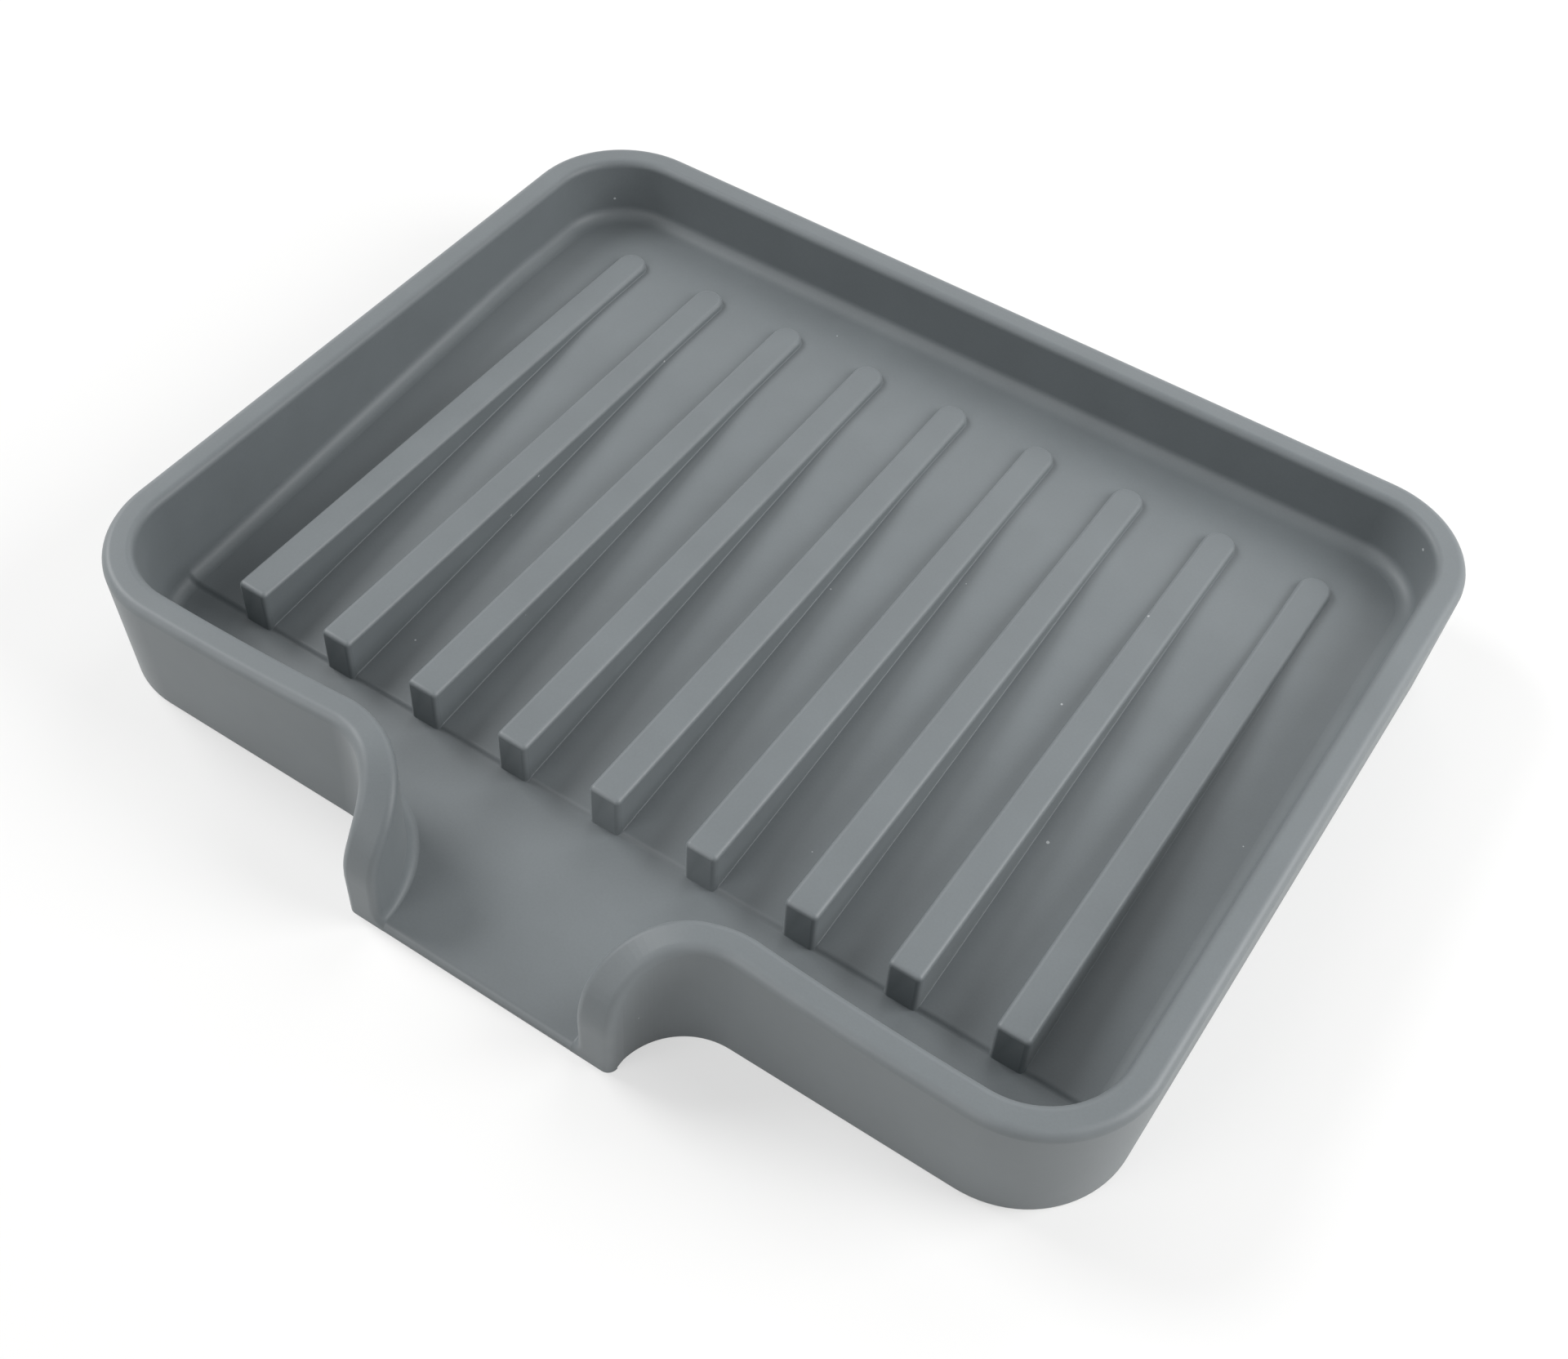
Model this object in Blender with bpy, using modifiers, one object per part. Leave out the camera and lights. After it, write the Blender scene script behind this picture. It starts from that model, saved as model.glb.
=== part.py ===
# Silicone soap dish with a pouring spout. Metres, +Z up, the long side along X, the spout towards -Y.
# The origin is on the table, under the middle of the whole dish.

import math

import bmesh
import bpy
from mathutils import Matrix, Vector

mm = 0.001

# Tray, measured at the rim. The walls lean in by wall_draft on their way down to the table.
tray_length = 135 * mm
tray_depth = 104.6 * mm
tray_height = 17.3 * mm
corner_radius = 13.8 * mm
wall_thickness = 3.75 * mm
wall_draft = 0.85 * mm
outer_round = 1.15 * mm
inner_round = 1 * mm
cove_width = 2.5 * mm
cove_height = 2.5 * mm

# Spout, open at the lip. Its cheeks are the tray's own wall, turned outwards, falling to a low toe and
# thickening on the way. The rim leans in by rim_lean round the spout and is true at the front corners.
spout_width = 37.6 * mm
spout_reach = 8.8 * mm
flare_radius = 7.5 * mm
cheek_run = 12.5 * mm
cheek_toe = 6.5 * mm
toe_thickness = 4.7 * mm
lip_height = 1.25 * mm
rim_lean = 1 * mm

# Floor. It falls from the level shelf at the rear to the lip, with a small step at the crease.
crease_setback = 14.2 * mm
gutter_height = 3.4 * mm
crease_step = 0.4 * mm
shelf_height = 8.6 * mm
shelf_depth = 27.5 * mm
floor_thickness = 2.5 * mm

# Ribs. They start at the crease and are spread evenly, the outer ones rib_side_room in from the rim's
# outline, measured to their middles. They end rib_rear_room short of the rear outline.
rib_count = 9
rib_side_room = 15.9 * mm
rib_rear_room = 12.9 * mm
rib_width = 4.1 * mm
rib_height = 9.6 * mm
rib_edge_round = 0.5 * mm

# The gap between neighbouring pieces, how far a cutter runs past its work, and the finest facets
fit_gap = 0.3 * mm
overrun = 5 * mm
least_facet = 0.15 * mm
weld_distance = 0.001 * mm

corner_steps = 8
lean_steps = 5
flare_steps = 7
cheek_steps = 9
round_steps = 3
cove_steps = 4
rib_end_steps = 8
slate = (0.145, 0.163, 0.172, 1)

# Places that follow from the sizes above
rear_y = (tray_depth + spout_reach) / 2
lip_y = -rear_y
front_y = rear_y - tray_depth
crease_y = front_y + crease_setback
flare_x = spout_width / 2 + flare_radius
flare_y = front_y - flare_radius
shelf_y = rear_y - shelf_depth
side_x = tray_length / 2
drain_height = gutter_height + crease_step
rib_pitch = (tray_length - 2 * rib_side_room) / (rib_count - 1)
rib_length = rear_y - rib_rear_room - crease_y
panel_inset = wall_thickness + wall_draft + cove_width
quarter = math.pi / 2
up = Vector((0, 0, 1))
front = Vector((0, -1, 0))


def clear_scene():
    for thing in list(bpy.data.objects):
        bpy.data.objects.remove(thing, do_unlink=True)


def new_collection(name):
    group = bpy.data.collections.new(name)
    bpy.context.scene.collection.children.link(group)
    return group


def silicone(name):
    material = bpy.data.materials.new(name)
    material.use_nodes = True
    shader = material.node_tree.nodes["Principled BSDF"]
    shader.inputs["Base Color"].default_value = slate
    shader.inputs["Roughness"].default_value = 0.55
    shader.inputs["Metallic"].default_value = 0
    return material


def finished_mesh(bm, name):
    bmesh.ops.remove_doubles(bm, verts=bm.verts, dist=weld_distance)
    bmesh.ops.recalc_face_normals(bm, faces=bm.faces)
    mesh = bpy.data.meshes.new(name)
    bm.to_mesh(mesh)
    bm.free()
    mesh.shade_smooth()
    mesh.set_sharp_from_angle(angle=math.radians(35))
    return mesh


def add_piece(name, mesh, group):
    piece = bpy.data.objects.new(name, mesh)
    if not mesh.materials:
        mesh.materials.append(silicone("silicone_" + mesh.name))
    group.objects.link(piece)
    return piece


def prism(outline, along, name):
    # A closed flat outline pushed along a direction
    bm = bmesh.new()
    face = bm.faces.new([bm.verts.new(point) for point in outline])
    pushed = bmesh.ops.extrude_face_region(bm, geom=[face])
    far_end = [item for item in pushed["geom"] if isinstance(item, bmesh.types.BMVert)]
    bmesh.ops.translate(bm, verts=far_end, vec=along)
    return finished_mesh(bm, name)


def floor_height(y):
    # The top of the floor over the table, from the lip to the rear
    if y < crease_y:
        gutter_start = lip_y + inner_round
        gutter_end = crease_y - fit_gap
        share = (y - gutter_start) / (gutter_end - gutter_start)
        return lip_height + (gutter_height - lip_height) * min(max(0, share), 1)
    if y < shelf_y:
        return drain_height + (shelf_height - drain_height) * (y - crease_y) / (shelf_y - crease_y)
    return shelf_height


def floor_underside(y):
    # The gutter and the spout are solid down to the table. The floor behind them is a plate.
    if y < crease_y:
        return 0
    return floor_height(y) - floor_thickness


def lean(z):
    # How far the wall's outer face lies inside the rim's outline
    return wall_draft * (1 - z / tray_height)


def cheek_top(length):
    # The wall's height at a path length from the lip, and its top's normal, forwards and upwards
    if length >= cheek_run:
        return tray_height, 0, 1
    sine = 1 - length / cheek_run
    cosine = math.sqrt(1 - sine * sine)
    forward = (tray_height - cheek_toe) * sine
    upward = cheek_run * cosine
    size = math.hypot(forward, upward)
    height = cheek_toe + (tray_height - cheek_toe) * cosine
    return height, forward / size, upward / size


def spout_station(length):
    # A place on the spout's outline, right of the lip, at a length measured along the wall's middle
    centre = Vector((flare_x, flare_y, 0))
    straight = flare_y - lip_y
    bend = flare_radius + wall_thickness / 2
    angle = min(max(0, length - straight) / bend, quarter)
    inward = Vector((-math.cos(angle), math.sin(angle), 0))
    forward = Vector((-math.sin(angle), -math.cos(angle), 0))
    beside = min(0, length - straight) + max(0, length - straight - bend * quarter)
    return centre + inward * flare_radius - forward * beside, inward, forward, length, rim_lean


def wall_stations():
    # The right half of the wall, from the lip to the middle of the rear.
    # Each station holds its outline point, inward and forward directions, length from the lip,
    # and how far the rim leans in there.
    straight = flare_y - lip_y
    bend = (flare_radius + wall_thickness / 2) * quarter
    lengths = [cheek_run * (1 - math.cos(quarter * step / cheek_steps)) for step in range(cheek_steps + 1)]
    lengths += [straight + bend * step / flare_steps for step in range(flare_steps + 1)]
    stations = []
    for length in sorted(lengths):
        if not stations or length - stations[-1][3] > least_facet:
            stations.append(spout_station(length))
    level = cheek_run + overrun
    nowhere = Vector((0, 0, 0))
    for step in range(1, lean_steps):
        share = step / lean_steps
        x = flare_x + (side_x - corner_radius - flare_x) * share
        stations.append((Vector((x, front_y, 0)), -front, nowhere, level, rim_lean * (1 - share) ** 2))
    for turn, centre_y in ((-quarter, front_y + corner_radius), (0, rear_y - corner_radius)):
        centre = Vector((side_x - corner_radius, centre_y, 0))
        for step in range(corner_steps + 1):
            angle = turn + quarter * step / corner_steps
            outward = Vector((math.cos(angle), math.sin(angle), 0))
            stations.append((centre + outward * corner_radius, -outward, nowhere, level, 0))
        if turn < 0:
            for y in (crease_y - fit_gap, crease_y, shelf_y):
                stations.append((Vector((side_x, y, 0)), Vector((-1, 0, 0)), nowhere, level, 0))
    stations.append((Vector((0, rear_y, 0)), front, nowhere, level, 0))
    return stations


def wall_section(station, edge_turn=quarter, on_table=False):
    # One closed section of the wall: outer foot, rim, cove at the floor, underside and inner foot.
    # Where the rim falls, its rounded edges lie square to the fall. At the lip, edge_turn below a
    # quarter turn walks round the channel's front edge, and on_table drops the section to the table.
    point, inward, forward, length, rim_in = station
    height, ahead, upward = cheek_top(length)
    foot = point + inward * panel_inset - forward * inner_round * ahead
    floor = floor_height(foot.y)
    bend_height = floor + cove_height
    thickness = wall_thickness + (toe_thickness - wall_thickness) * max(0, 1 - length / cheek_run)
    section = []

    def place(inset, z, under=0, back=0):
        spot = point + inward * inset - forward * (under * ahead + back)
        spot.z = 0 if on_table else z - under * upward
        spot += inward * rim_in * max(0, spot.z - bend_height) / (tray_height - bend_height)
        section.append(spot)

    place(lean(0), 0, back=outer_round * ahead)
    outer = lean(0) if on_table else lean(height)
    for step in range(round_steps + 1):
        turn = quarter * step / round_steps
        place(outer + outer_round * (1 - math.cos(turn)), height, under=outer_round * (1 - math.sin(turn)))
    inner = thickness + lean(height)
    for step in range(round_steps + 1):
        turn = min(quarter * step / round_steps, edge_turn)
        place(inner - inner_round * (1 - math.sin(turn)), height, under=inner_round * (1 - math.cos(turn)))
    back = inner_round * (1 - math.cos(edge_turn)) * ahead
    sunk = inner_round * (1 - math.sin(edge_turn))
    cove_start = thickness + lean(bend_height)
    for step in range(cove_steps + 1):
        turn = quarter * step / cove_steps
        inset = cove_start + (panel_inset - cove_start) * (1 - math.cos(turn))
        z = floor + cove_height * (1 - math.sin(turn))
        place(inset - sunk * math.cos(turn), z - sunk * math.sin(turn), back=back)
    under = floor_underside(foot.y)
    place(panel_inset, under, back=inner_round * ahead)
    place(thickness + lean(under), under, back=inner_round * ahead)
    place(thickness + lean(0), 0, back=inner_round * ahead)
    return section


def make_rim_wall(group):
    # The wall is lofted through its sections on the right side and mirrored to the left
    stations = wall_stations()
    sections = [wall_section(stations[0], edge_turn=0, on_table=True)]
    for step in range(round_steps):
        sections.append(wall_section(stations[0], edge_turn=quarter * step / round_steps))
    sections += [wall_section(station) for station in stations]
    bm = bmesh.new()
    rings = [[bm.verts.new(point) for point in section] for section in sections]
    for near, far in zip(rings, rings[1:]):
        for i in range(len(near)):
            bm.faces.new((near[i - 1], near[i], far[i], far[i - 1]))
    bm.faces.new(rings[0])
    piece = add_piece("rim_wall", finished_mesh(bm, "rim_wall"), group)
    mirror = piece.modifiers.new("left side", "MIRROR")
    mirror.merge_threshold = weld_distance
    mirror.use_clip = True
    return piece


def make_panel_outline(group):
    # A block with the outline that both floors fill, just inside the wall's cove
    inset = panel_inset + fit_gap
    right = [point + inward * inset for point, inward, *rest in wall_stations()]
    right.insert(0, right[0] - Vector((0, overrun, 0)))
    left = [Vector((-point.x, point.y, 0)) for point in reversed(right) if point.x > 0]
    block = prism(right + left, up * (tray_height + overrun), "panel_outline")
    block.transform(Matrix.Translation(up * -overrun))
    cutter = bpy.data.objects.new("panel_outline", block)
    cutter.hide_render = True
    cutter.display_type = "WIRE"
    group.objects.link(cutter)
    return cutter


def make_floor(name, profile, outline, group):
    # A side profile pushed across the dish, then trimmed to the outline inside the wall
    across = [Vector((-side_x, y, z)) for y, z in profile]
    piece = add_piece(name, prism(across, Vector((tray_length, 0, 0)), name), group)
    trim = piece.modifiers.new("outline", "BOOLEAN")
    trim.operation = "INTERSECT"
    trim.solver = "EXACT"
    trim.object = outline
    return piece


def spout_profile():
    profile = [(crease_y - fit_gap, 0), (lip_y, 0)]
    for step in range(round_steps + 1):
        turn = quarter * step / round_steps
        y = lip_y + inner_round * (1 - math.cos(turn))
        profile.append((y, lip_height - inner_round * (1 - math.sin(turn))))
    profile.append((crease_y - fit_gap, gutter_height))
    return profile


def drain_profile():
    tops = [(crease_y, drain_height), (shelf_y, shelf_height), (rear_y + overrun, shelf_height)]
    undersides = [(y, z - floor_thickness) for y, z in reversed(tops)]
    return tops + undersides


def rib_mesh():
    # Square in front, half round at the rear, level on top, with its foot cut to the falling floor.
    # The rib's own origin is at the middle of its front face, on the table.
    half = rib_width / 2
    shelf = shelf_y - crease_y
    outline = [Vector((x, y, 0)) for x, y in ((-half, shelf), (-half, 0), (half, 0), (half, shelf))]
    for step in range(rib_end_steps + 1):
        angle = math.pi * step / rib_end_steps
        outline.append(Vector((half * math.cos(angle), rib_length - half + half * math.sin(angle), 0)))
    bm = bmesh.new()
    feet = [bm.verts.new(point) for point in outline]
    pushed = bmesh.ops.extrude_face_region(bm, geom=[bm.faces.new(feet)])
    tops = [item for item in pushed["geom"] if isinstance(item, bmesh.types.BMVert)]
    for vert in bm.verts:
        vert.co.z = rib_height if vert in tops else floor_height(vert.co.y + crease_y) + fit_gap
    bmesh.ops.connect_verts(bm, verts=[feet[0], feet[3]])
    rounded = []
    for edge in bm.edges:
        ends_on_top = sum(vert in tops for vert in edge.verts)
        at_front = all(vert.co.y == 0 for vert in edge.verts)
        if ends_on_top == 2 or (ends_on_top == 1 and at_front):
            rounded.append(edge)
    bmesh.ops.bevel(
        bm, geom=rounded, offset=rib_edge_round, offset_type="OFFSET", segments=2, profile=0.5, affect="EDGES"
    )
    return finished_mesh(bm, "rib")


def make_ribs(group):
    mesh = rib_mesh()
    for number in range(rib_count):
        rib = add_piece(f"rib_{number + 1}", mesh, group)
        rib.location = ((number - (rib_count - 1) / 2) * rib_pitch, crease_y, 0)


def main():
    clear_scene()
    dish = new_collection("silicone_soap_dish")
    cutters = new_collection("cutters")
    outline = make_panel_outline(cutters)
    make_rim_wall(dish)
    make_floor("spout_floor", spout_profile(), outline, dish)
    make_floor("drain_floor", drain_profile(), outline, dish)
    make_ribs(dish)


main()
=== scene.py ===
import math

import bmesh
import bpy
from mathutils import Euler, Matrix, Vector


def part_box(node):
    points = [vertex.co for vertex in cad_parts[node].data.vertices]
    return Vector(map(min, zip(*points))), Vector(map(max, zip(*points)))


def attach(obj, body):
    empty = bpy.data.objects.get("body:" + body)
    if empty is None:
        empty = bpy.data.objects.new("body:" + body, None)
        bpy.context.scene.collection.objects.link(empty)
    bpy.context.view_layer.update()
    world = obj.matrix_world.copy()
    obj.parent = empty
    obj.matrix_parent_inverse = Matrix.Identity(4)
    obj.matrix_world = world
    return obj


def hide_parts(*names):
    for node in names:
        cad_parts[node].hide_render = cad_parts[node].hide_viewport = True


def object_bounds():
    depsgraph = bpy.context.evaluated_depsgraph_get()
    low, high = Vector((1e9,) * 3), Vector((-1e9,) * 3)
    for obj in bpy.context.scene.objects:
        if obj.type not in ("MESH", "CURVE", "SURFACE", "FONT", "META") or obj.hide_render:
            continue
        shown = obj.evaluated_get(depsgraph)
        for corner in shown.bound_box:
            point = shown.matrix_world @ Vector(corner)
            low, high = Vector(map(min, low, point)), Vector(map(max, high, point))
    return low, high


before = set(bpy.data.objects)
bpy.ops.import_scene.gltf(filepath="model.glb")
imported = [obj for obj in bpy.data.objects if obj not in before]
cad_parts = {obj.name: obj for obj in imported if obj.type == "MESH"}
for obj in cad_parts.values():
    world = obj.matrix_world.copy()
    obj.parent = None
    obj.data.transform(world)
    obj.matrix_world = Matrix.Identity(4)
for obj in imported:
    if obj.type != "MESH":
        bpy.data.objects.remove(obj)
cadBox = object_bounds()

# All lengths below are in millimetres. Each mesh is scaled to metres when it is finished.
millimetre = 0.001
quarter = math.pi / 2
hair = 0.01            # a distance too small to see
mergeDistance = 0.0005  # points closer than this become one
mirrorMerge = 0.002    # the same where the wall's two halves meet
sharpAngle = 40        # degrees, above which an edge is shaded sharp
white = (1, 1, 1, 1)


def boxOf(node):
    low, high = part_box(node)
    return low / millimetre, high / millimetre


wallLow, wallHigh = boxOf("rim_wall")
sideX, rearY, lipY, trayTop = wallHigh.x, wallHigh.y, wallLow.y, wallHigh.z

tray = {
    "spoutReach": 8.8,      # from the front wall to the lip
    "cornerRadius": 13.8,
    "creaseSetback": 14.2,  # from the front wall back to the crease
    "shelfDepth": 27.5,     # the level part of the floor, from the rear wall
}
frontY = lipY + tray["spoutReach"]
creaseY = frontY + tray["creaseSetback"]
shelfY = rearY - tray["shelfDepth"]


# Materials

skin = {
    "slate": (0.145, 0.163, 0.172, 1),
    "pale": (0.215, 0.235, 0.246, 1),   # rounded edges: mostly a painted highlight, with a little rub
    "dust": (0.46, 0.48, 0.49, 1),
    "mottleSize": 9.0,
    "mottleShade": 0.10,    # how far the mottling darkens and lightens the slate
    "grainSize": 0.28,
    "grainShade": 0.75,     # the grain's part in that
    "grainDepth": 0.014,
    "grainStrength": 0.5,
    "rippleDepth": 0.8,     # the soft waviness under the grain, to the grain's 1
    "rippleFineness": 6,    # how many times finer than the mottling it is
    "roughness": 0.52,
    "roughnessSpread": 0.12,
    "edgeRoughness": -0.05,
    # how strongly the rounded edges are painted paler, as a highlight
    "edgeHighlight": 0.6,
    "leastHighlight": 0.35,       # what the break-up leaves of the painted edge highlight everywhere
    "highlightScale": 260.0,      # patches to the metre
    "dustScale": 380.0,     # cells to the metre, each with a speck or none
    "dustAmount": 0.06,     # the share of the cells with a speck
    "smallestSpeck": 0.025,  # radius, to a cell's size
    "speckSpread": 0.05,
    "sheen": 0.12,
    "sheenRoughness": 0.45,
}


def newGroup(name, inputs, outputs):
    # The inputs are given with their first values, and a vector with None
    group = bpy.data.node_groups.new(name, "ShaderNodeTree")
    for label, value in inputs.items():
        kind = "NodeSocketVector" if value is None else "NodeSocketFloat"
        socket = group.interface.new_socket(label, in_out="INPUT", socket_type=kind)
        if value is not None:
            socket.default_value = value
    for label in outputs:
        group.interface.new_socket(label, in_out="OUTPUT", socket_type="NodeSocketFloat")
    return group, group.nodes.new("NodeGroupInput"), group.nodes.new("NodeGroupOutput")


def addMath(tree, operation, *values, clamp=False):
    node = tree.nodes.new("ShaderNodeMath")
    node.operation = operation
    node.use_clamp = clamp
    for socket, value in zip(node.inputs, values):
        if isinstance(value, (int, float)):
            socket.default_value = value
        else:
            tree.links.new(value, socket)
    return node.outputs[0]


def addNoise(tree, vector, scale, detail, roughness=0.5):
    node = tree.nodes.new("ShaderNodeTexNoise")
    node.inputs["Detail"].default_value = detail
    node.inputs["Roughness"].default_value = roughness
    tree.links.new(scale, node.inputs["Scale"])
    tree.links.new(vector, node.inputs["Vector"])
    return node.outputs["Fac"]


def addMix(tree, share, first, second):
    node = tree.nodes.new("ShaderNodeMix")
    node.data_type = "RGBA"
    for label, value in (("Factor", share), ("A", first), ("B", second)):
        socket = next(s for s in node.inputs if s.name == label and (label == "Factor" or s.type == "RGBA"))
        if isinstance(value, tuple):
            socket.default_value = value
        else:
            tree.links.new(value, socket)
    return next(s for s in node.outputs if s.type == "RGBA")


def makeMouldedGrain():
    # Cloudy mottling and the fine matt grain that the mould leaves
    group, given, made = newGroup(
        "moulded grain",
        {"Vector": None, "Mottle Scale": 100.0, "Grain Scale": 4000.0, "Ripple": 0.8},
        ["Mottle", "Grain", "Height"])
    place, mottleScale = given.outputs["Vector"], given.outputs["Mottle Scale"]
    clouds = addNoise(group, place, mottleScale, detail=3)
    fine = addNoise(group, place, given.outputs["Grain Scale"], detail=2, roughness=0.6)
    rippleScale = addMath(group, "MULTIPLY", mottleScale, skin["rippleFineness"])
    ripple = addNoise(group, place, rippleScale, detail=2)
    height = addMath(group, "ADD", fine, addMath(group, "MULTIPLY", ripple, given.outputs["Ripple"]))
    group.links.new(clouds, made.inputs["Mottle"])
    group.links.new(fine, made.inputs["Grain"])
    group.links.new(height, made.inputs["Height"])
    return group


def makeDustSpecks():
    # Sparse pale specks, at most four tenths of a millimetre across
    group, given, made = newGroup(
        "dust specks",
        {"Vector": None, "Scale": 450.0, "Amount": 0.02, "Smallest": 0.025, "Spread": 0.05},
        ["Mask"])
    cells = group.nodes.new("ShaderNodeTexVoronoi")
    group.links.new(given.outputs["Vector"], cells.inputs["Vector"])
    group.links.new(given.outputs["Scale"], cells.inputs["Scale"])
    pick = group.nodes.new("ShaderNodeSeparateColor")
    group.links.new(cells.outputs["Color"], pick.inputs["Color"])
    chosen = addMath(group, "LESS_THAN", pick.outputs["Red"], given.outputs["Amount"])
    size = addMath(group, "MULTIPLY_ADD", pick.outputs["Green"], given.outputs["Spread"],
                   given.outputs["Smallest"])
    near = addMath(group, "LESS_THAN", cells.outputs["Distance"], size)
    group.links.new(addMath(group, "MULTIPLY", chosen, near), made.inputs["Mask"])
    return group


def makePaintedEdgeHighlight():
    # Paler rounded edges: mostly a painted highlight where they catch the light, with a little rub, broken
    # up into patches
    group, given, made = newGroup(
        "painted edge highlight",
        {"Vector": None, "Edge": 0.0, "Scale": 300.0, "Amount": 0.3, "Least": 0.35},
        ["Mask"])
    breakUp = addNoise(group, given.outputs["Vector"], given.outputs["Scale"], detail=3)
    patches = addMath(group, "ADD", breakUp, given.outputs["Least"])
    highlighted = addMath(group, "MULTIPLY", given.outputs["Edge"], patches)
    mask = addMath(group, "MULTIPLY", highlighted, given.outputs["Amount"], clamp=True)
    group.links.new(mask, made.inputs["Mask"])
    return group


mouldedGrain = makeMouldedGrain()
dustSpecks = makeDustSpecks()
edgeHighlight = makePaintedEdgeHighlight()


def useGroup(tree, group, vector, **values):
    node = tree.nodes.new("ShaderNodeGroup")
    node.node_tree = group
    tree.links.new(vector, node.inputs["Vector"])
    for label, value in values.items():
        node.inputs[label.replace("_", " ")].default_value = value
    return node


def shadeOfSlate(change):
    return tuple(channel * (1 + change) for channel in skin["slate"][:3]) + (1,)


def makeSilicone(name):
    material = bpy.data.materials.new(name)
    material.use_nodes = True
    tree = material.node_tree
    shader = tree.nodes["Principled BSDF"]
    place = tree.nodes.new("ShaderNodeTexCoord").outputs["Object"]
    edge = tree.nodes.new("ShaderNodeAttribute")
    edge.attribute_name = "edge"
    grain = useGroup(tree, mouldedGrain, place, Mottle_Scale=1 / (skin["mottleSize"] * millimetre),
                     Grain_Scale=1 / (skin["grainSize"] * millimetre), Ripple=skin["rippleDepth"])
    specks = useGroup(tree, dustSpecks, place, Scale=skin["dustScale"], Amount=skin["dustAmount"],
                      Smallest=skin["smallestSpeck"], Spread=skin["speckSpread"])
    edgeHighlighting = useGroup(tree, edgeHighlight, place, Scale=skin["highlightScale"], Amount=skin["edgeHighlight"],
                   Least=skin["leastHighlight"])
    tree.links.new(edge.outputs["Fac"], edgeHighlighting.inputs["Edge"])

    fine = grain.outputs["Grain"]
    shade = addMath(tree, "MULTIPLY_ADD", addMath(tree, "SUBTRACT", fine, 0.5), skin["grainShade"],
                    grain.outputs["Mottle"])
    colour = addMix(tree, shade, shadeOfSlate(-skin["mottleShade"]), shadeOfSlate(skin["mottleShade"]))
    # the rounded edges painted paler: mostly a painted highlight, with a little rub
    colour = addMix(tree, edgeHighlighting.outputs["Mask"], colour, skin["pale"])
    colour = addMix(tree, specks.outputs["Mask"], colour, skin["dust"])
    tree.links.new(colour, shader.inputs["Base Color"])

    spread = skin["roughnessSpread"]
    grainy = addMath(tree, "MULTIPLY_ADD", fine, spread, skin["roughness"] - spread / 2)
    rough = addMath(tree, "MULTIPLY_ADD", edge.outputs["Fac"], skin["edgeRoughness"], grainy)
    tree.links.new(rough, shader.inputs["Roughness"])

    bump = tree.nodes.new("ShaderNodeBump")
    bump.inputs["Strength"].default_value = skin["grainStrength"]
    bump.inputs["Distance"].default_value = skin["grainDepth"] * millimetre
    tree.links.new(grain.outputs["Height"], bump.inputs["Height"])
    tree.links.new(bump.outputs["Normal"], shader.inputs["Normal"])
    shader.inputs["Sheen Weight"].default_value = skin["sheen"]
    shader.inputs["Sheen Roughness"].default_value = skin["sheenRoughness"]
    return material


print("materials: silicone skin groups made")


# Mesh helpers

def startLine(bm, points, marks):
    # An open line of edges through the points. A mark is how much of a rounded edge a point is, 0 to 1,
    # which sets its painted edge highlight.
    layer = bm.verts.layers.float.get("edge") or bm.verts.layers.float.new("edge")
    verts = [bm.verts.new(point) for point in points]
    for near, far in zip(verts, verts[1:]):
        bm.edges.new((near, far))
    for vert, mark in zip(verts, marks):
        vert[layer] = mark
    return verts


def pushLine(bm, line, points, marks):
    # The line, open or closed, is extruded, and its new end goes to the points
    layer = bm.verts.layers.float["edge"]
    order = {vert: place for place, vert in enumerate(line)}
    edges = {edge for vert in line for edge in vert.link_edges if edge.other_vert(vert) in order}
    pushed = bmesh.ops.extrude_edge_only(bm, edges=list(edges))["geom"]
    newLine = [None] * len(line)
    for vert in (item for item in pushed if isinstance(item, bmesh.types.BMVert)):
        start = next(edge.other_vert(vert) for edge in vert.link_edges if edge.other_vert(vert) in order)
        newLine[order[start]] = vert
    for vert, point, mark in zip(newLine, points, marks):
        vert.co = point
        vert[layer] = mark
    return newLine


def roundMarks(steps):
    return [math.sin(math.pi * step / steps) for step in range(steps + 1)]


def markByPlace(piece, markAt):
    # The same marks for a piece that isn't made of lines
    marks = piece.data.attributes.new("edge", "FLOAT", "POINT")
    marks.data.foreach_set("value", [markAt(vert.co / millimetre) for vert in piece.data.vertices])


def cutAcross(bm, place, normal, clearOuter=False):
    geometry = bm.verts[:] + bm.edges[:] + bm.faces[:]
    bmesh.ops.bisect_plane(bm, geom=geometry, plane_co=place, plane_no=normal, clear_outer=clearOuter)


def finishPiece(bm, name, replaced, material, mirrored=False):
    bmesh.ops.remove_doubles(bm, verts=bm.verts, dist=mergeDistance)
    bmesh.ops.recalc_face_normals(bm, faces=bm.faces)
    bmesh.ops.scale(bm, verts=bm.verts, vec=Vector((millimetre,) * 3))
    mesh = bpy.data.meshes.new(name)
    bm.to_mesh(mesh)
    bm.free()
    mesh.shade_smooth()
    mesh.set_sharp_from_angle(angle=math.radians(sharpAngle))
    mesh.materials.append(material)
    piece = bpy.data.objects.new(name, mesh)
    bpy.context.scene.collection.objects.link(piece)
    if mirrored:
        mirror = piece.modifiers.new("left side", "MIRROR")
        mirror.merge_threshold = mirrorMerge * millimetre
        mirror.use_clip = True
    evenOut = piece.modifiers.new("flat faces stay flat", "WEIGHTED_NORMAL")
    evenOut.keep_sharp = True
    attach(piece, "root")
    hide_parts(replaced)
    return piece


# The floor's height, which the wall's cove and the ribs' feet follow too

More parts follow.
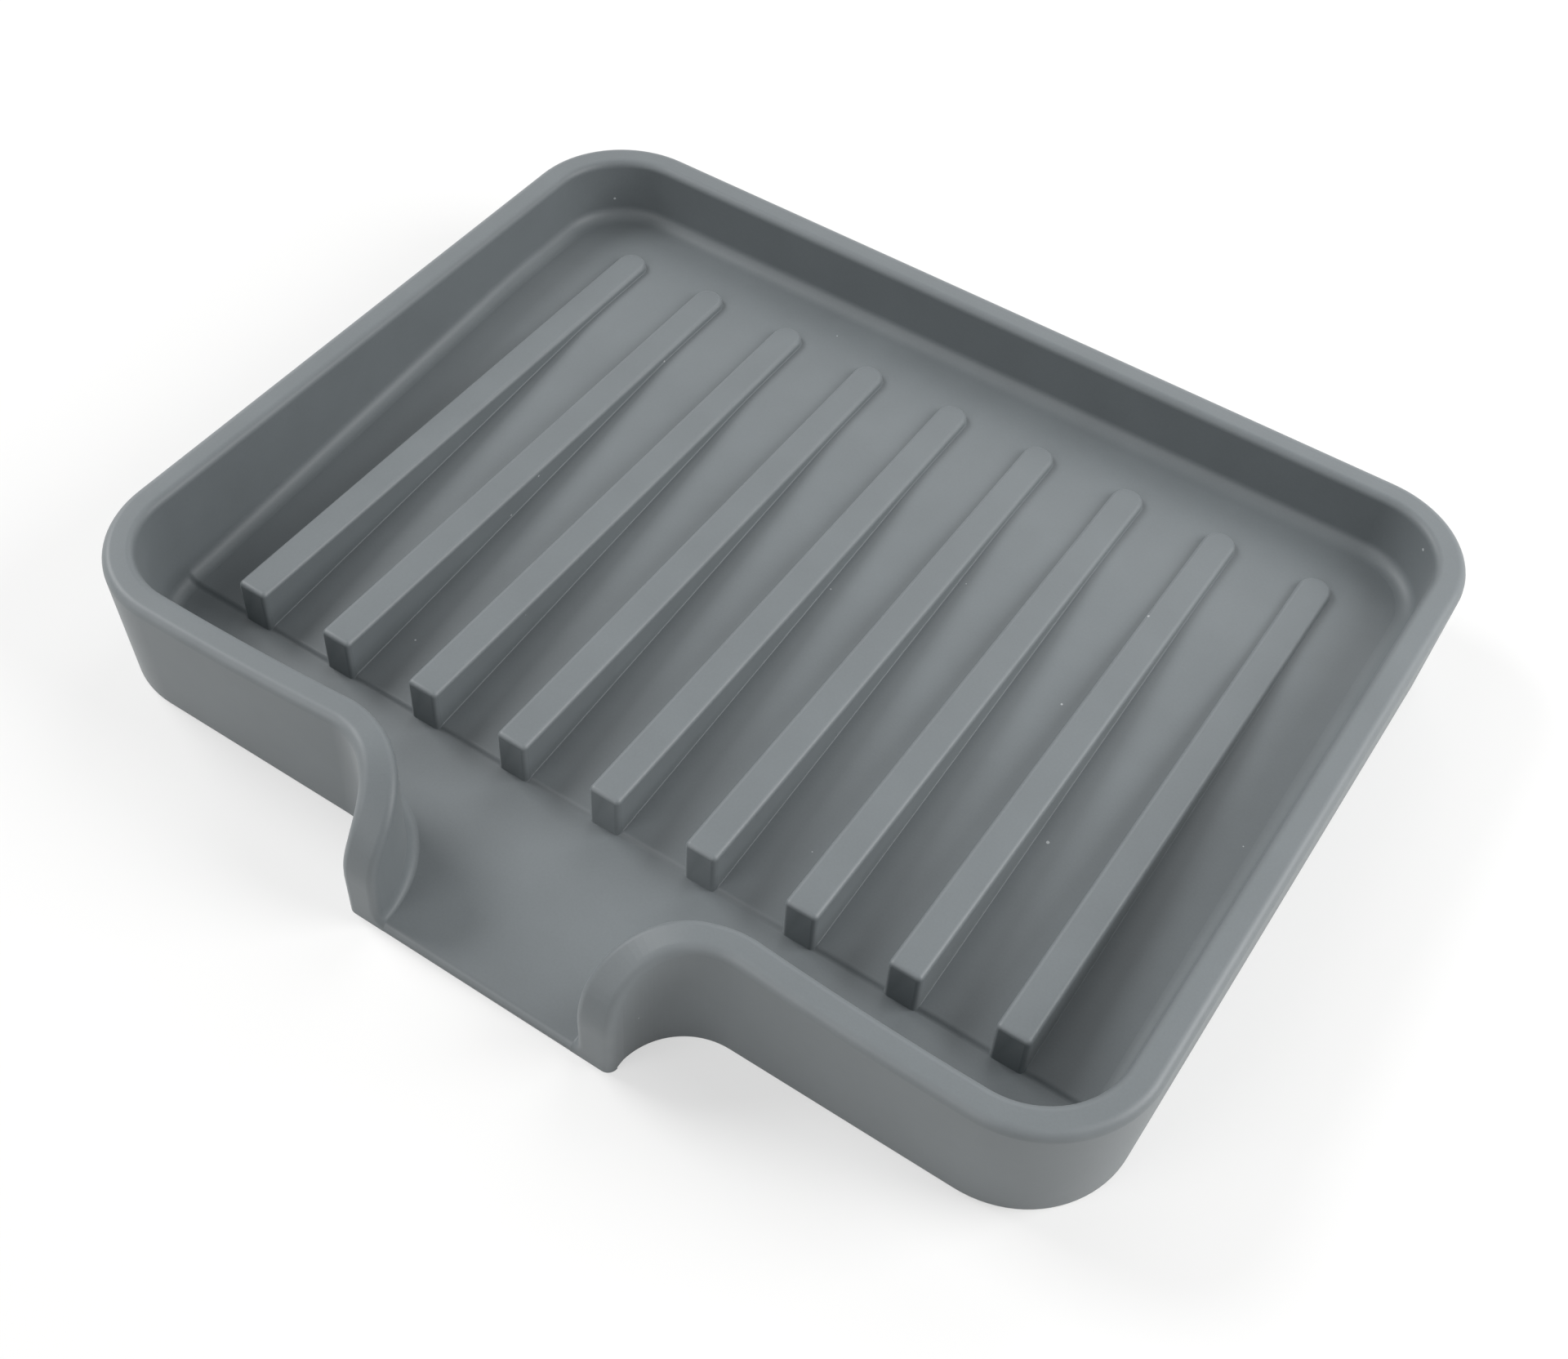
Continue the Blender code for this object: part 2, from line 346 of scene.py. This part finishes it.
slope = {
    "lipHeight": 1.25,
    "lipRound": 1.0,
    "lipSteps": 7,
    "gutterHeight": 3.4,   # at the foot of the crease
    "creaseStep": 0.4,
    "creaseRound": 0.85,   # the length of the soft S that makes the step
    "creaseSteps": 6,
    "browStart": 0.6,      # the share of the S from which its upper edge gets a painted highlight
    "browHighlight": 0.6,
    "shelfHeight": 8.6,
    "softBend": 5.0,       # half the length over which the slope turns level
    "bendSteps": 4,
}


def floorTop(y):
    gutterStart = lipY + slope["lipRound"]
    if y < creaseY:
        share = min(max(0, (y - gutterStart) / (creaseY - gutterStart)), 1)
        return slope["lipHeight"] + (slope["gutterHeight"] - slope["lipHeight"]) * share
    start = slope["gutterHeight"] + slope["creaseStep"]
    rate = (slope["shelfHeight"] - start) / (shelfY - creaseY)
    height = start + rate * min(y - creaseY, shelfY - creaseY)
    reach = slope["softBend"]
    if abs(y - shelfY) < reach:
        height -= rate * (reach - abs(y - shelfY)) ** 2 / (4 * reach)
    behind = slope["creaseRound"] - (y - creaseY)
    if behind > 0:
        height -= slope["creaseStep"] * (1 - math.cos(math.pi * behind / slope["creaseRound"])) / 2
    return height


def floorStops():
    # Where the floor's surface needs a line across it, from the crease to the shelf
    creaseSteps, bendSteps = slope["creaseSteps"], slope["bendSteps"]
    stops = [creaseY + slope["creaseRound"] * step / creaseSteps for step in range(creaseSteps + 1)]
    bends = [shelfY + slope["softBend"] * step / bendSteps for step in range(-bendSteps, bendSteps + 1)]
    return stops + bends


# The standing wall

wall = {
    "thickness": 3.75,
    "toeThickness": 4.7,
    "draft": 0.85,
    "outerRound": 1.15,
    "innerRound": 1.0,
    "innerHighlight": 0.15,      # how much of the painted edge highlight the rim's inner edge gets
    "footRound": 0.35,
    "coveWidth": 1.5,
    "coveHeight": 1.7,
    "tuckDepth": 0.8,      # how far the cove's inner edge goes down into the floor
    "cornerSteps": 22,
    "roundSteps": 7,
    "footSteps": 3,
    "coveSteps": 9,
}

cheek = {
    "spoutWidth": 37.6,
    "flareRadius": 7.5,
    "run": 12.5,           # the length over which the rim falls to the toe
    "toe": 6.5,
    "rimLean": 1.0,
    "flareSteps": 22,
    "fallSteps": 26,
    "leanSteps": 9,
    "leastGap": 0.03,      # between the places where the fall's steps and the flare's meet
}
flareX = cheek["spoutWidth"] / 2 + cheek["flareRadius"]
flareY = frontY - cheek["flareRadius"]
coveInset = wall["thickness"] + wall["draft"] + wall["coveWidth"]


def wallLean(z):
    return wall["draft"] * (1 - z / trayTop)


def cheekTop(length):
    # The wall's height at a path length from the lip, and its top's normal, forwards and upwards
    run, toe = cheek["run"], cheek["toe"]
    if length >= run:
        return trayTop, 0, 1
    sine = 1 - length / run
    cosine = math.sqrt(1 - sine * sine)
    normal = Vector(((trayTop - toe) * sine, run * cosine)).normalized()
    return toe + (trayTop - toe) * cosine, normal.x, normal.y


def spoutStation(length):
    centre = Vector((flareX, flareY, 0))
    radius = cheek["flareRadius"]
    bend = radius + wall["thickness"] / 2
    past = length - (flareY - lipY)
    angle = min(max(0, past) / bend, quarter)
    inward = Vector((-math.cos(angle), math.sin(angle), 0))
    forward = Vector((-math.sin(angle), -math.cos(angle), 0))
    beside = min(0, past) + max(0, past - bend * quarter)
    return centre + inward * radius - forward * beside, inward, forward, length, cheek["rimLean"]


def levelStation(point, inward, lean=0.0):
    # Past the fall, where the rim is level
    return Vector(point), Vector(inward), Vector((0, 0, 0)), cheek["run"] + 1, lean


def wallStations():
    # The right half, from the lip to the middle of the rear: outline point, inward and forward
    # directions, length from the lip, and how far the rim leans in there
    bend = (cheek["flareRadius"] + wall["thickness"] / 2) * quarter
    fall, flare = cheek["fallSteps"], cheek["flareSteps"]
    lengths = [cheek["run"] * (1 - math.cos(quarter * step / fall)) for step in range(fall + 1)]
    lengths += [flareY - lipY + bend * step / flare for step in range(flare + 1)]
    stations = []
    for length in sorted(lengths):
        if not stations or length - stations[-1][3] > cheek["leastGap"]:
            stations.append(spoutStation(length))
    radius = tray["cornerRadius"]
    for step in range(1, cheek["leanSteps"]):
        share = step / cheek["leanSteps"]
        x = flareX + (sideX - radius - flareX) * share
        stations.append(levelStation((x, frontY, 0), (0, 1, 0), cheek["rimLean"] * (1 - share) ** 2))
    for turn, centreY in ((-quarter, frontY + radius), (0, rearY - radius)):
        centre = Vector((sideX - radius, centreY, 0))
        for step in range(wall["cornerSteps"] + 1):
            angle = turn + quarter * step / wall["cornerSteps"]
            outward = Vector((math.cos(angle), math.sin(angle), 0))
            stations.append(levelStation(centre + outward * radius, -outward))
        if turn < 0:
            stations += [levelStation((sideX, y, 0), (-1, 0, 0)) for y in [creaseY - hair] + floorStops()]
    stations.append(levelStation((0, rearY, 0), (0, -1, 0)))
    return stations


def wallSection(station, edgeTurn=quarter, onTable=False):
    # One closed section: foot, outer face, rim, inner face, cove, and the part tucked into the floor.
    # Where the rim falls its rounded edges lie square to the fall. At the lip, edgeTurn below a
    # quarter turn walks round the channel's front edge, and onTable drops the section to the table.
    point, inward, forward, length, rimIn = station
    height, ahead, upward = cheekTop(length)
    inner, outer = wall["innerRound"], wall["outerRound"]
    foot = point + inward * coveInset - forward * inner * ahead
    floor = floorTop(foot.y)
    bendHeight = floor + wall["coveHeight"]
    toeShare = max(0, 1 - length / cheek["run"])
    thickness = wall["thickness"] + (wall["toeThickness"] - wall["thickness"]) * toeShare
    section = []

    def put(inset, z, under=0, back=0):
        spot = point + inward * inset - forward * (under * ahead + back)
        spot.z = 0 if onTable else z - under * upward
        spot += inward * rimIn * max(0, spot.z - bendHeight) / (trayTop - bendHeight)
        section.append(spot)

    footRound = wall["footRound"]
    for step in range(wall["footSteps"] + 1):
        turn = quarter * step / wall["footSteps"]
        z = footRound * (1 - math.cos(turn))
        put(wallLean(z) + footRound * (1 - math.sin(turn)), z, back=outer * ahead)
    lean = wallLean(0) if onTable else wallLean(height)
    for step in range(wall["roundSteps"] + 1):
        turn = quarter * step / wall["roundSteps"]
        put(lean + outer * (1 - math.cos(turn)), height, under=outer * (1 - math.sin(turn)))
    inset = thickness + wallLean(height)
    for step in range(wall["roundSteps"] + 1):
        turn = min(quarter * step / wall["roundSteps"], edgeTurn)
        put(inset - inner * (1 - math.sin(turn)), height, under=inner * (1 - math.cos(turn)))
    back = inner * (1 - math.cos(edgeTurn)) * ahead
    sunk = inner * (1 - math.sin(edgeTurn))
    coveStart = thickness + wallLean(bendHeight)
    for step in range(wall["coveSteps"] + 1):
        turn = quarter * step / wall["coveSteps"]
        across = coveStart + (coveInset - coveStart) * (1 - math.cos(turn))
        z = floor + wall["coveHeight"] * (1 - math.sin(turn))
        put(across - sunk * math.cos(turn), z - sunk * math.sin(turn), back=back)
    tuck = max(0, floor - wall["tuckDepth"])
    for tucked, z in ((coveInset, tuck), (thickness + wallLean(tuck), tuck), (thickness + wallLean(0), 0)):
        put(tucked, z, back=inner * ahead)
    return section


def makeStandingWall():
    stations = wallStations()
    # The rim's rounded edges get the painted edge highlight, the inner one less
    outerMarks = roundMarks(wall["roundSteps"])
    innerMarks = [wall["innerHighlight"] * mark for mark in outerMarks]
    marks = [0] * (wall["footSteps"] + 1) + outerMarks + innerMarks
    marks += [0] * (wall["coveSteps"] + 4)  # the cove and the three tucked points
    sections = [wallSection(stations[0], edgeTurn=0, onTable=True)]
    for step in range(wall["roundSteps"]):
        sections.append(wallSection(stations[0], edgeTurn=quarter * step / wall["roundSteps"]))
    sections += [wallSection(station) for station in stations]
    bm = bmesh.new()
    ring = startLine(bm, sections[0], marks)
    bm.faces.new(ring)
    for section in sections[1:]:
        ring = pushLine(bm, ring, section, marks)
    finishPiece(bm, "standing_wall", "rim_wall", makeSilicone("silicone wall"), mirrored=True)


makeStandingWall()
print("standing wall made")


# The floors

floors = {
    "underWall": 4.9,      # the floors' edge, measured in from the rim's outline
    "plateThickness": 2.5,
    "bedUnderside": 0.05,
    "frontTuck": 0.08,     # how far the bed's front stands behind the toes'
}


def wholeOutline(inset):
    # The dish's plan at that inset from the rim's outline
    right = [point + inward * inset for point, inward, *rest in wallStations()]
    right = [point for point in right if point.x > 0.1 * hair]
    left = [Vector((-point.x, point.y, 0)) for point in reversed(right)]
    return right + left


def floorBody(nearY, farY, stops, underside):
    # The plan, cut to its stretch of the dish and across at the stops, with its top and underside
    # at their heights
    bm = bmesh.new()
    bm.faces.new([bm.verts.new(point) for point in wholeOutline(floors["underWall"])])
    for y, side in ((nearY, -1), (farY, 1)):
        cutAcross(bm, (0, y, 0), (0, side, 0), clearOuter=True)
    for y in stops:
        cutAcross(bm, (0, y, 0), (0, 1, 0))
    top = bm.verts[:]
    pushed = bmesh.ops.extrude_face_region(bm, geom=bm.faces[:])["geom"]
    for vert in (item for item in pushed if isinstance(item, bmesh.types.BMVert)):
        vert.co.z = underside(vert.co.y)
    for vert in top:
        vert.co.z = floorTop(vert.co.y)
    return bm


def makeSpoutBed():
    turn, steps = slope["lipRound"], slope["lipSteps"]
    stops = [lipY + turn * (1 - math.cos(quarter * step / steps)) for step in range(1, steps + 1)]
    bm = floorBody(lipY, creaseY, stops, lambda y: floors["bedUnderside"])
    for vert in bm.verts:  # the lip's edge rolls over
        if vert.co.z > slope["lipHeight"] / 2 and vert.co.y < lipY + turn:
            behind = turn - (vert.co.y - lipY)
            vert.co.z -= turn - math.sqrt(max(0, turn ** 2 - behind ** 2))
    bedHalf = cheek["spoutWidth"] / 2 - coveInset
    for x in (-bedHalf, bedHalf):
        cutAcross(bm, (x, 0, 0), (1, 0, 0))
    for vert in bm.verts:  # under the toes
        if abs(vert.co.x) > bedHalf + hair and vert.co.y < lipY + turn:
            vert.co.y += floors["frontTuck"]
    piece = finishPiece(bm, "spout_bed", "spout_floor", makeSilicone("silicone spout"))
    # The lip's rounded edge gets the full painted edge highlight
    markByPlace(piece, lambda spot: 1.0 if spot.y < lipY + turn / 2 and spot.z > turn / 2 else 0.0)


def makeSlopingFloor():
    turn = slope["creaseRound"]
    bm = floorBody(creaseY, rearY, floorStops()[1:],
                   lambda y: floorTop(max(y, creaseY + turn)) - floors["plateThickness"])
    piece = finishPiece(bm, "sloping_floor", "drain_floor", makeSilicone("silicone floor"))
    browLow, browHigh = creaseY + turn * slope["browStart"], creaseY + turn - 2 * hair
    # The crease's upper edge gets a painted highlight
    markByPlace(piece, lambda spot: slope["browHighlight"] if browLow < spot.y < browHigh else 0.0)


makeSpoutBed()
makeSlopingFloor()
print("floors made")


# The ribs

rib = {
    "count": 9,
    "edgeRound": 0.6,
    "frontShare": 0.96,    # how much of the edge round the front face is drawn in by
    "footFillet": 0.12,
    "tuckDepth": 0.3,      # how far the sides go down into the floor
    "proud": 0.04,         # how far the front face stands before the crease
    "roundSteps": 5,
    "endSteps": 18,
}


def ribProfile(half, topZ, footZ, shrink):
    # From the middle of the top to the middle of the underside, with a rounded edge, the side and a
    # small fillet at the foot, as (outwards, up)
    edge, fillet = rib["edgeRound"] - shrink, rib["footFillet"]
    half, topZ = half - shrink, topZ - shrink
    turns = [quarter * step / rib["roundSteps"] for step in range(rib["roundSteps"] + 1)]
    points = [(0, topZ)]
    points += [(half - edge * (1 - math.sin(turn)), topZ - edge * (1 - math.cos(turn))) for turn in turns]
    points += [(half + fillet * (1 - math.cos(turn)), footZ + fillet * (1 - math.sin(turn)))
               for turn in turns[::2]]
    sunkZ = footZ - rib["tuckDepth"]
    return points + [(half + fillet, footZ), (half + fillet, sunkZ), (0, sunkZ)]


def makeRib(number, material):
    low, high = boxOf(f"rib_{number}")
    middle, half, topZ = (low.x + high.x) / 2, (high.x - low.x) / 2, high.z
    rearCentre, front = high.y - half, low.y - rib["proud"]
    edge, rounds = rib["edgeRound"], rib["roundSteps"]
    rows = [(rearCentre, 0, 0)]  # each with its place, how far it is drawn in, and its mark for the painted edge highlight
    rows += [(y, 0, 0) for y in reversed(floorStops()) if front + edge < y < rearCentre]
    for step, mark in enumerate(roundMarks(rounds)):
        turn = quarter * step / rounds
        drawnIn = rib["frontShare"] * edge * (1 - math.cos(turn))
        rows.append((front + edge * (1 - math.sin(turn)), drawnIn, mark))
    bm = bmesh.new()
    ends = {}
    for side in (-1, 1):  # each side runs from the rear centre to the front
        for y, shrink, mark in rows:
            profile = ribProfile(half, topZ, floorTop(y), shrink)
            points = [Vector((middle + side * x, y, z)) for x, z in profile]
            # the rounded edges get the painted edge highlight
            marks = [mark] + [max(mark, along) for along in roundMarks(rounds)]
            marks += [mark] * (len(points) - len(marks))
            if y == rearCentre:
                line = startLine(bm, points, marks)
                ends[side, "rear"] = line
            else:
                line = pushLine(bm, line, points, marks)
        ends[side, "front"] = line
    bm.faces.new(ends[1, "front"] + ends[-1, "front"][-2:0:-1])
    rearEdges = [edge for edge in bm.edges if set(edge.verts) <= set(ends[1, "rear"])]
    bmesh.ops.spin(bm, geom=ends[1, "rear"] + rearEdges, cent=(middle, rearCentre, 0), axis=(0, 0, 1),
                   angle=math.pi, steps=rib["endSteps"], use_duplicate=False)
    finishPiece(bm, f"soap_rib_{number}", f"rib_{number}", material)


ribMaterial = makeSilicone("silicone ribs")
for number in range(1, rib["count"] + 1):
    makeRib(number, ribMaterial)
print("ribs made")


# Studio, in metres

studio = {
    "floorColour": (0.90, 0.90, 0.89, 1),
    "floorRoughness": 0.8,
    "floorFull": 0.20,     # from the middle of the dish, where the floor starts to fade
    "floorEnd": 0.42,
    "floorLift": 0.55,     # how far the camera sees the floor towards white, where 1 leaves no shadow
    "worldStrength": 0.22,
    "cameraPlace": (0.08101684, -0.13641341, 0.18751591),
    "cameraTurn": (39.65647237, -2.87919079, 33.49615095),  # degrees
    "lens": 46.07501579,   # millimetres
    "nearest": 0.01,       # what the camera can see
    "farthest": 20,
}

lamps = {  # place, size across, power in watts
    "left": ((-0.75, 0.00, 0.66), 0.45, 5.7),
    "rear": ((-0.10, 0.60, 0.52), 0.50, 1.2),
    "right": ((0.35, 0.15, 0.25), 0.30, 1.55),
    "front": ((-0.30, -0.70, 0.50), 0.50, 1.9),
}


def seenDirectly(tree):
    # 1 for what the camera sees, straight or in a shiny surface, and 0 for the light that falls on things
    path = tree.nodes.new("ShaderNodeLightPath")
    mirrored = addMath(tree, "MAXIMUM", path.outputs["Is Glossy Ray"], path.outputs["Is Transmission Ray"])
    return addMath(tree, "MAXIMUM", path.outputs["Is Camera Ray"], mirrored)


def mixShaders(tree, share, first, second, target):
    mix = tree.nodes.new("ShaderNodeMixShader")
    tree.links.new(share, mix.inputs["Fac"])
    tree.links.new(first, mix.inputs[1])
    tree.links.new(second, mix.inputs[2])
    tree.links.new(mix.outputs["Shader"], target)


def makeFloorMaterial():
    material = bpy.data.materials.new("pale floor")
    material.use_nodes = True
    tree = material.node_tree
    shader = tree.nodes["Principled BSDF"]
    shader.inputs["Base Color"].default_value = studio["floorColour"]
    shader.inputs["Roughness"].default_value = studio["floorRoughness"]
    distance = tree.nodes.new("ShaderNodeVectorMath")
    distance.operation = "LENGTH"
    tree.links.new(tree.nodes.new("ShaderNodeTexCoord").outputs["Object"], distance.inputs[0])
    fade = tree.nodes.new("ShaderNodeMapRange")
    fade.interpolation_type = "SMOOTHSTEP"
    ranges = {"From Min": studio["floorFull"], "From Max": studio["floorEnd"], "To Min": 1, "To Max": 0}
    for label, value in ranges.items():
        fade.inputs[label].default_value = value
    tree.links.new(distance.outputs["Value"], fade.inputs["Value"])
    tree.links.new(fade.outputs["Result"], shader.inputs["Alpha"])
    glow = tree.nodes.new("ShaderNodeEmission")
    glow.inputs["Color"].default_value = white
    glow.inputs["Strength"].default_value = 1.0
    out = tree.nodes["Material Output"]
    mixShaders(tree, addMath(tree, "MULTIPLY", seenDirectly(tree), studio["floorLift"]),
               shader.outputs["BSDF"], glow.outputs["Emission"], out.inputs["Surface"])
    material.cycles.emission_sampling = "NONE"
    return material


def makeFloorSheet():
    # It fades into the white background all round, so that no horizon shows from a low angle
    bm = bmesh.new()
    bmesh.ops.create_grid(bm, x_segments=1, y_segments=1, size=studio["floorEnd"])
    bmesh.ops.translate(bm, verts=bm.verts, vec=(0, 0, cadBox[0].z))
    mesh = bpy.data.meshes.new("studio_floor")
    bm.to_mesh(mesh)
    bm.free()
    mesh.materials.append(makeFloorMaterial())
    sheet = bpy.data.objects.new("studio_floor", mesh)
    bpy.context.scene.collection.objects.link(sheet)


def addBackground(tree, strength):
    node = tree.nodes.new("ShaderNodeBackground")
    node.inputs["Color"].default_value = white
    node.inputs["Strength"].default_value = strength
    return node.outputs["Background"]


def makeLights():
    world = bpy.data.worlds.new("studio")
    bpy.context.scene.world = world
    world.use_nodes = True
    tree = world.node_tree
    tree.nodes.clear()
    out = tree.nodes.new("ShaderNodeOutputWorld")
    mixShaders(tree, seenDirectly(tree), addBackground(tree, studio["worldStrength"]),
               addBackground(tree, 1.0), out.inputs["Surface"])
    for name, (place, size, power) in lamps.items():
        light = bpy.data.lights.new(name, "AREA")
        light.shape = "DISK"
        light.size = size
        light.energy = power
        lamp = bpy.data.objects.new(name, light)
        bpy.context.scene.collection.objects.link(lamp)
        lamp.location = place
        lamp.rotation_euler = (-Vector(place)).to_track_quat("-Z", "Y").to_euler()
        lamp.visible_camera = False


def makeCamera():
    data = bpy.data.cameras.new("camera")
    data.lens = studio["lens"]
    data.clip_start, data.clip_end = studio["nearest"], studio["farthest"]
    camera = bpy.data.objects.new("camera", data)
    bpy.context.scene.collection.objects.link(camera)
    camera.location = studio["cameraPlace"]
    camera.rotation_euler = Euler([math.radians(turn) for turn in studio["cameraTurn"]], "XYZ")
    bpy.context.scene.camera = camera


makeFloorSheet()
makeLights()
makeCamera()
bpy.context.scene.view_settings.view_transform = "Standard"
print("studio made")
